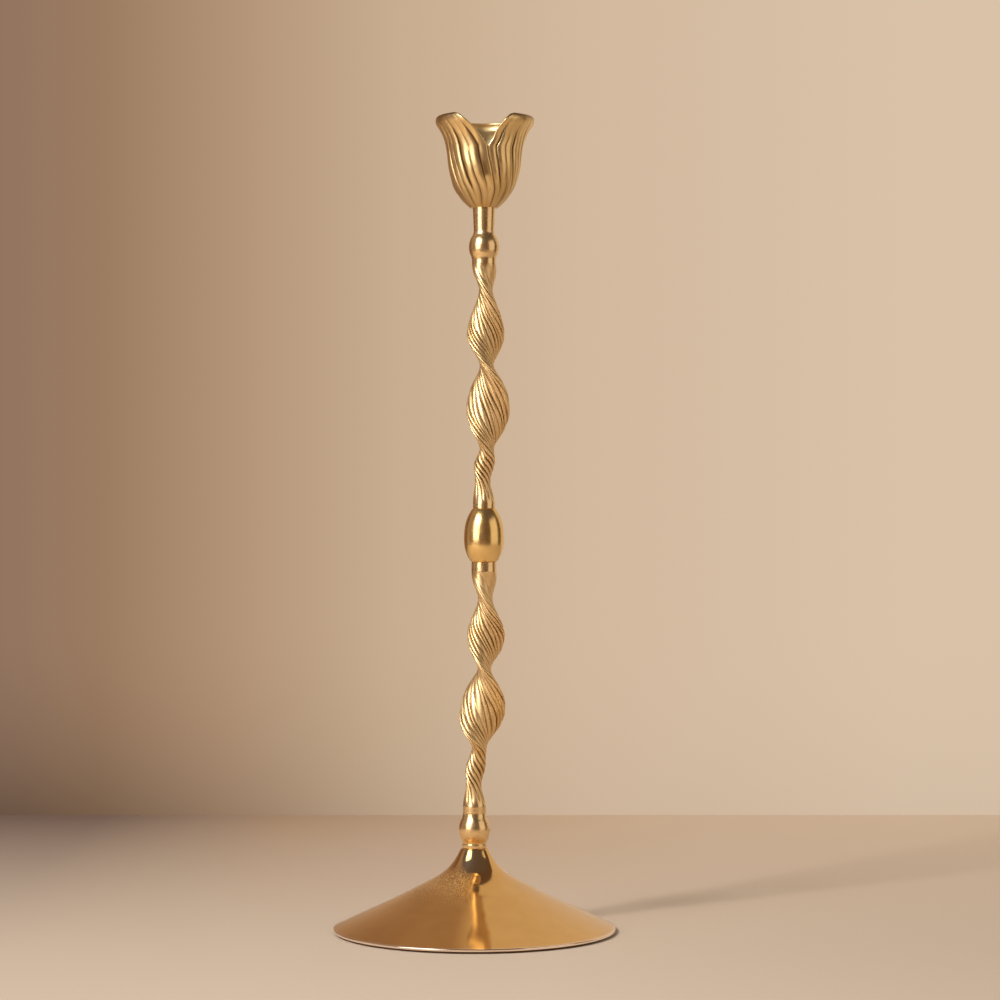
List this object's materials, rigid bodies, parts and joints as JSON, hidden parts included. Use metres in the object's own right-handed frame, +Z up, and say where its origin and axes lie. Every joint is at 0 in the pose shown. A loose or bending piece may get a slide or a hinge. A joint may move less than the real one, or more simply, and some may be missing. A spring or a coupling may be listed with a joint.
{
  "type": "candle holder",
  "caption": "Tall brass candle holder for one taper: fluted tulip cup on twisted reeded stems joined by a turned knop, on a hollow conical foot.",
  "frame": {"origin": "centre of the foot on the surface it stands on, at the felt's underside", "axes": "+Z up along the foot's axis, -Y towards the front notch between two petals, +X to the right from there"},
  "size_m": [0.1215, 0.1214, 0.3508],
  "materials": {
    "polished_brass": "cast brass, polished and lacquered",
    "steel_fastener": "zinc plated",
    "base_felt": "pressed wool felt"
  },
  "bodies": {
    "root": {"tulip_cup": "polished_brass", "cup_stud": "steel_fastener", "upper_stem": "polished_brass", "middle_knop": "polished_brass", "middle_stud": "steel_fastener", "lower_stem": "polished_brass", "foot": "polished_brass", "foot_screw": "steel_fastener", "foot_washer": "steel_fastener", "foot_lock_washer": "steel_fastener", "foot_felt": "base_felt"}
  },
  "joints": []
}
